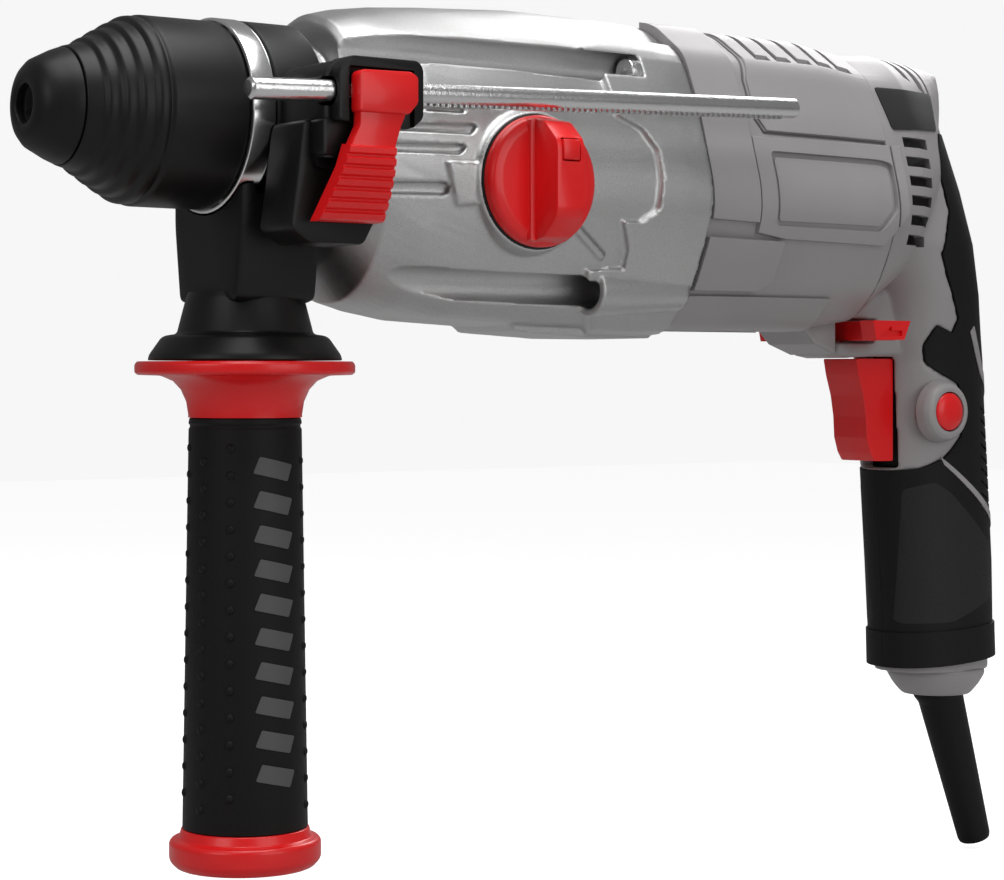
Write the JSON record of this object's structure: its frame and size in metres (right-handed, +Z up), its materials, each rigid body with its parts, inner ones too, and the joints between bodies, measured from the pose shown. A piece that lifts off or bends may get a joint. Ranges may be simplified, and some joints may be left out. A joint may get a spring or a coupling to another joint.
{
  "type": "rotary hammer",
  "caption": "Pistol-grip rotary hammer with a sliding-sleeve tool holder, mode knob, swivelling side handle and depth rod.",
  "frame": {"origin": "centre of the tool socket's mouth, on the spindle axis", "axes": "+X along the spindle from the nose to the rear, +Z up with the pistol grip hanging towards -Z, -Y is the tool's left side"},
  "size_m": [0.3672, 0.0986, 0.2734],
  "materials": {
    "cast_aluminium": "bead-blasted satin",
    "grey_plastic": "satin moulded",
    "black_plastic": "satin moulded",
    "black_rubber": "fine grain",
    "red_plastic": "satin gloss",
    "bright_steel": "nickel plated",
    "steel": "ground",
    "zinc_steel": "zinc plated, knurled",
    "copper": "enamelled copper wire",
    "carbon": "pressed carbon"
  },
  "bodies": {
    "housing": {"gear_housing": "cast_aluminium", "front_bearing": "steel", "spindle_seal": "black_rubber", "bearing_bracket": "cast_aluminium", "tail_bearing": "steel", "inner_flange": "cast_aluminium", "shaft_front_bearing": "steel", "shaft_rear_bearing": "steel", "armature_front_bearing": "steel", "armature_rear_bearing": "steel", "gear_housing_screws": "zinc_steel", "motor_housing": "grey_plastic", "badge_plates": "cast_aluminium", "stator_core": "steel", "field_coils": "copper", "brush_holders": "black_plastic", "carbon_brushes": "carbon", "handle_shell_left": "grey_plastic", "handle_shell_right": "grey_plastic", "handle_screws": "zinc_steel", "grip_overmould_left": "black_rubber", "grip_overmould_right": "black_rubber", "lock_ring": "grey_plastic", "switch_module": "black_plastic", "cable_gland": "grey_plastic"},
    "spindle": {"tool_holder": "steel", "dust_cap": "black_rubber", "chuck_ring": "bright_steel", "spindle_gear": "steel", "locking_balls": "bright_steel", "sleeve_spring": "steel"},
    "lock_sleeve": {"locking_sleeve": "black_plastic"},
    "impact_bolt": {"impact_bolt": "steel"},
    "striker": {"striker": "steel"},
    "piston": {"piston": "steel"},
    "piston_pin": {"piston_pin": "steel"},
    "wobble_drive": {"wobble_ring": "steel"},
    "intermediate": {"intermediate_shaft": "steel", "intermediate_gear": "steel"},
    "clutch": {"clutch_sleeve": "steel"},
    "armature": {"armature_shaft": "steel", "armature_core": "steel", "commutator": "copper", "cooling_fan": "black_plastic"},
    "mode_selector": {"mode_knob": "red_plastic"},
    "selector_lock": {"knob_lock_button": "red_plastic"},
    "shift_fork": {"shift_fork": "steel"},
    "side_handle": {"clamp_band": "zinc_steel", "handle_bracket": "black_plastic", "handle_bolt": "steel"},
    "side_grip": {"handle_core": "red_plastic", "grip_rubber": "black_rubber"},
    "depth_lever": {"depth_lever": "red_plastic"},
    "depth_rod": {"depth_rod": "zinc_steel"},
    "trigger": {"trigger": "red_plastic"},
    "reverse_lever": {"reverse_lever": "red_plastic"},
    "lock_button": {"lock_button": "red_plastic"},
    "cable_guard": {"cable_guard": "black_rubber"}
  },
  "joints": [
    {"name": "armature_spin", "type": "hinge", "parent": "housing", "child": "armature", "pos_m": [0.24, 0, -0.0105], "axis": [1, 0, 0], "continuous": true},
    {"name": "intermediate_spin", "type": "hinge", "parent": "housing", "child": "intermediate", "pos_m": [0.15, 0, -0.031], "axis": [1, 0, 0], "continuous": true},
    {"name": "spindle_spin", "type": "hinge", "parent": "housing", "child": "spindle", "pos_m": [0.08, 0, 0], "axis": [1, 0, 0], "continuous": true},
    {"name": "lock_sleeve_slide", "type": "slide", "parent": "spindle", "child": "lock_sleeve", "axis": [1, 0, 0], "range_m": [0, 0.0055], "stiffness_N_per_m": 1500, "springref_m": -0.003},
    {"name": "impact_bolt_slide", "type": "slide", "parent": "spindle", "child": "impact_bolt", "axis": [1, 0, 0], "range_m": [0, 0.006]},
    {"name": "piston_slide", "type": "slide", "parent": "housing", "child": "piston", "axis": [1, 0, 0], "range_m": [-0.0064, 0.0064]},
    {"name": "striker_slide", "type": "slide", "parent": "piston", "child": "striker", "axis": [1, 0, 0], "range_m": [-0.009, 0.006]},
    {"name": "piston_pin_turn", "type": "hinge", "parent": "piston", "child": "piston_pin", "pos_m": [0.16, 0, 0], "axis": [0, 1, 0], "range_deg": [-13, 13]},
    {"name": "wobble_swing", "type": "hinge", "parent": "housing", "child": "wobble_drive", "pos_m": [0.16, 0, -0.031], "axis": [0, 1, 0], "range_deg": [-12, 12]},
    {"name": "clutch_slide", "type": "slide", "parent": "intermediate", "child": "clutch", "axis": [1, 0, 0], "range_m": [-0.0041, 0.0041]},
    {"name": "fork_slide", "type": "slide", "parent": "housing", "child": "shift_fork", "axis": [1, 0, 0], "range_m": [-0.0041, 0.0041]},
    {"name": "mode_knob_turn", "type": "hinge", "parent": "housing", "child": "mode_selector", "pos_m": [0.137, -0.041, -0.017], "axis": [0, 1, 0], "range_deg": [-90, 90]},
    {"name": "knob_lock_press", "type": "slide", "parent": "mode_selector", "child": "selector_lock", "axis": [0, 1, 0], "range_m": [0, 0.0018], "stiffness_N_per_m": 800, "springref_m": -0.001},
    {"name": "side_handle_swing", "type": "hinge", "parent": "housing", "child": "side_handle", "pos_m": [0.0675, 0, 0], "axis": [1, 0, 0], "range_deg": [-170, 0]},
    {"name": "side_grip_twist", "type": "hinge", "parent": "side_handle", "child": "side_grip", "pos_m": [0.065, 0, -0.14], "axis": [0, 0, 1], "range_deg": [0, 360]},
    {"name": "depth_lever_press", "type": "hinge", "parent": "side_handle", "child": "depth_lever", "pos_m": [0.075, -0.0545, -0.0035], "axis": [1, 0, 0], "range_deg": [0, 6], "stiffness_Nm_per_rad": 3, "springref_deg": -5.73},
    {"name": "depth_rod_slide", "type": "slide", "parent": "side_handle", "child": "depth_rod", "axis": [0.9994, 0, 0.0349], "range_m": [-0.13, 0.025]},
    {"name": "trigger_pull", "type": "slide", "parent": "housing", "child": "trigger", "axis": [1, 0, 0], "range_m": [0, 0.007], "stiffness_N_per_m": 1200, "springref_m": -0.002},
    {"name": "reverse_lever_turn", "type": "hinge", "parent": "housing", "child": "reverse_lever", "pos_m": [0.292, 0, -0.0575], "axis": [0, 0, 1], "range_deg": [-8, 8]},
    {"name": "lock_button_press", "type": "slide", "parent": "housing", "child": "lock_button", "axis": [0, 1, 0], "range_m": [0, 0.0035], "stiffness_N_per_m": 800, "springref_m": -0.001},
    {"name": "cable_guard_tilt", "type": "hinge", "parent": "housing", "child": "cable_guard", "pos_m": [0.3405, 0, -0.179], "axis": [0, 1, 0], "range_deg": [-6, 6], "stiffness_Nm_per_rad": 1.5}
  ],
  "couplings": [
    {"joint": "intermediate_spin", "follows": "armature_spin", "ratio": -0.24242},
    {"joint": "spindle_spin", "follows": "armature_spin", "ratio": 0.084321},
    {"joint": "wobble_swing", "follows": "piston_slide", "rad_per_m": 32.258},
    {"joint": "piston_pin_turn", "follows": "piston_slide", "rad_per_m": 32.258},
    {"joint": "clutch_slide", "follows": "mode_knob_turn", "m_per_rad": 0.0025465},
    {"joint": "fork_slide", "follows": "mode_knob_turn", "m_per_rad": 0.0025465}
  ]
}
